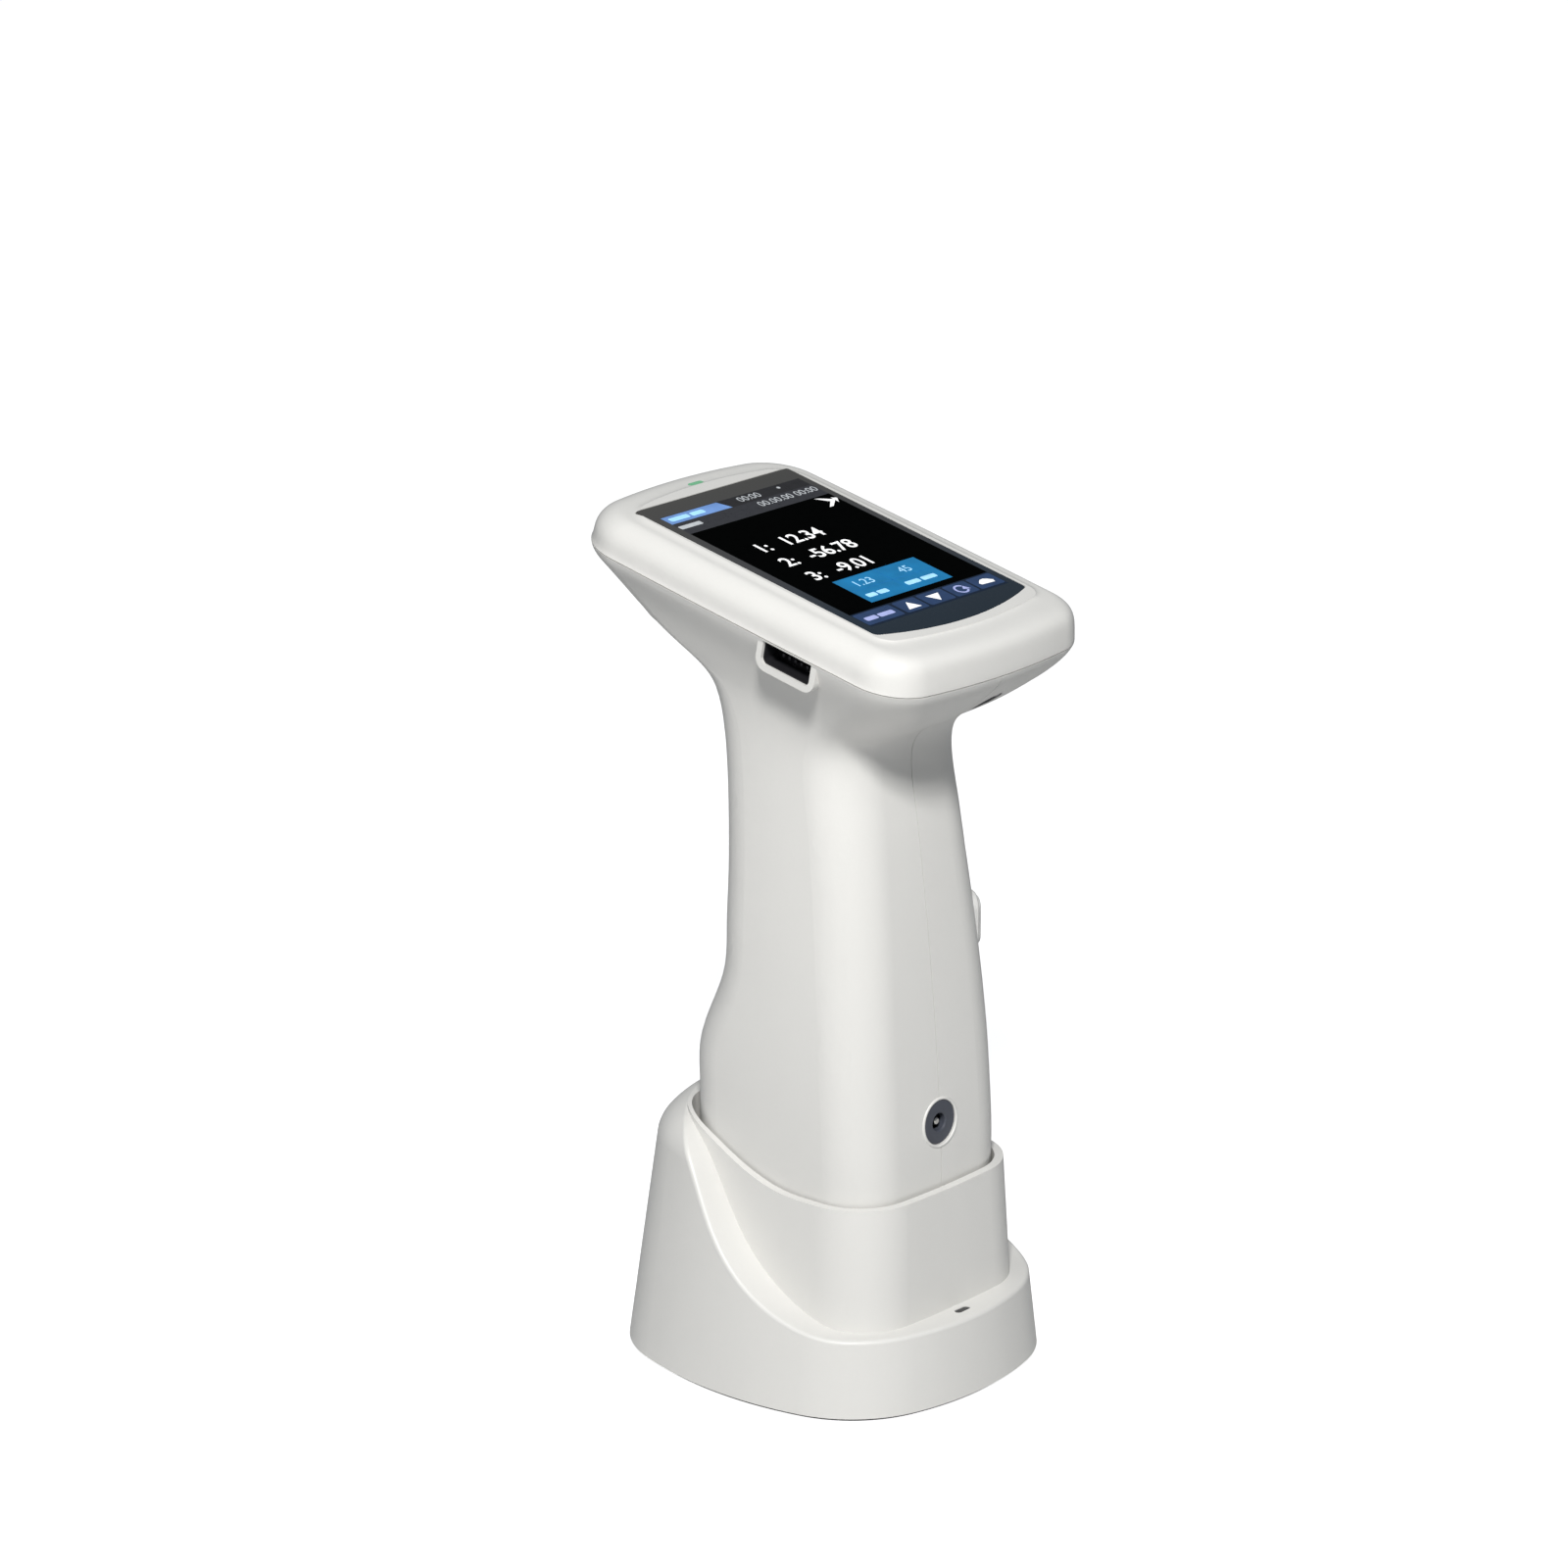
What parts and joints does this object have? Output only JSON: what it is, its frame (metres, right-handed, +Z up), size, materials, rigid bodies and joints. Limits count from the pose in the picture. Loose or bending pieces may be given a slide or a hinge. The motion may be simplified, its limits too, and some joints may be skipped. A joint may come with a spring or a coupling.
{
  "type": "handheld colour meter with dock",
  "caption": "Handheld colour-measuring instrument with an upright grip and tilted touch screen, standing in a swept charging dock.",
  "frame": {"origin": "centre of the underside of the dock's foot pad, on the table", "axes": "+Z up; -Y towards the user, the side that the screen tilts to; +X to the user's right; the mirror plane of the outer shape is X = 0"},
  "size_m": [0.0926, 0.1136, 0.2207],
  "materials": {
    "shell_plastic": "satin, very fine moulded grain",
    "soft_grey_plastic": "satin",
    "slate_plastic": "satin",
    "black_plastic": "matt",
    "screen_glass": "polished",
    "lcd_panel": "glossy, dark",
    "amber_film": "glossy film",
    "green_light_pipe": "diffusing",
    "circuit_board": "solder mask",
    "tin_plate": "tinned",
    "gold_contact": "gold plated",
    "nickel_pin": "bright",
    "battery_wrap": "shrink film",
    "sphere_coating": "diffuse white",
    "lamp_lens": "clear resin",
    "black_anodised": "black anodised",
    "lens_glass": "polished",
    "mirror_coat": "first surface coating",
    "steel_screw": "zinc plated",
    "dark_rubber": "matt",
    "smoke_window": "smoked, translucent",
    "ceramic_tile": "glazed white"
  },
  "bodies": {
    "dock": {"dock_shell": "shell_plastic", "dock_base_plate": "black_plastic", "dock_foot_pad": "dark_rubber", "dock_board": "circuit_board", "dock_inlet": "black_plastic", "dock_light_pipe": "smoke_window", "white_tile": "ceramic_tile", "tile_retainer": "slate_plastic", "contact_block": "black_plastic", "dock_screws": "steel_screw"},
    "instrument": {"left_housing": "shell_plastic", "right_housing": "shell_plastic", "top_cover": "shell_plastic", "cover_glass": "screen_glass", "lcd_module": "lcd_panel", "lcd_bracket": "black_plastic", "display_flex": "amber_film", "status_light_pipe": "green_light_pipe", "main_board": "circuit_board", "board_shield": "tin_plate", "buzzer": "black_plastic", "io_connector": "black_plastic", "io_pins": "gold_contact", "dc_jack_body": "black_plastic", "dc_jack_bezel": "slate_plastic", "dc_jack_pin": "nickel_pin", "battery_pack": "battery_wrap", "battery_bracket": "black_plastic", "power_button_bezel": "soft_grey_plastic", "power_switch": "circuit_board", "trigger_switch": "circuit_board", "bottom_cover": "shell_plastic", "aperture_ring": "slate_plastic", "sphere_upper": "sphere_coating", "sphere_lower": "sphere_coating", "lamp_board": "circuit_board", "lamps": "lamp_lens", "lens_barrel": "black_anodised", "collecting_lens": "lens_glass", "spectrometer_bench": "black_anodised", "bench_lid": "black_anodised", "fold_mirror": "mirror_coat", "grating": "mirror_coat", "sensor_board": "circuit_board", "line_sensor": "black_plastic", "charge_pads": "gold_contact", "cover_screws": "steel_screw", "screw_plugs": "dark_rubber", "housing_screws": "steel_screw", "bottom_screws": "steel_screw"},
    "power_button": {"power_button": "soft_grey_plastic"},
    "trigger": {"measure_trigger": "shell_plastic"},
    "pin_left": {"contact_pin_left": "gold_contact"},
    "pin_right": {"contact_pin_right": "gold_contact"}
  },
  "joints": [
    {"name": "instrument_lift", "type": "slide", "parent": "dock", "child": "instrument", "axis": [0, 0, 1], "range_m": [0, 0.1]},
    {"name": "trigger_press", "type": "slide", "parent": "instrument", "child": "trigger", "axis": [0, -0.7071, 0.7071], "range_m": [0, 0.0015], "stiffness_N_per_m": 1200, "springref_m": -0.001},
    {"name": "power_press", "type": "slide", "parent": "instrument", "child": "power_button", "axis": [-0.866, 0.5, 0], "range_m": [0, 0.0008], "stiffness_N_per_m": 1500, "springref_m": -0.001},
    {"name": "pin_left_press", "type": "slide", "parent": "dock", "child": "pin_left", "axis": [0, 0, -1], "range_m": [0, 0.001], "stiffness_N_per_m": 500, "springref_m": -0.001},
    {"name": "pin_right_press", "type": "slide", "parent": "dock", "child": "pin_right", "axis": [0, 0, -1], "range_m": [0, 0.001], "stiffness_N_per_m": 500, "springref_m": -0.001}
  ]
}
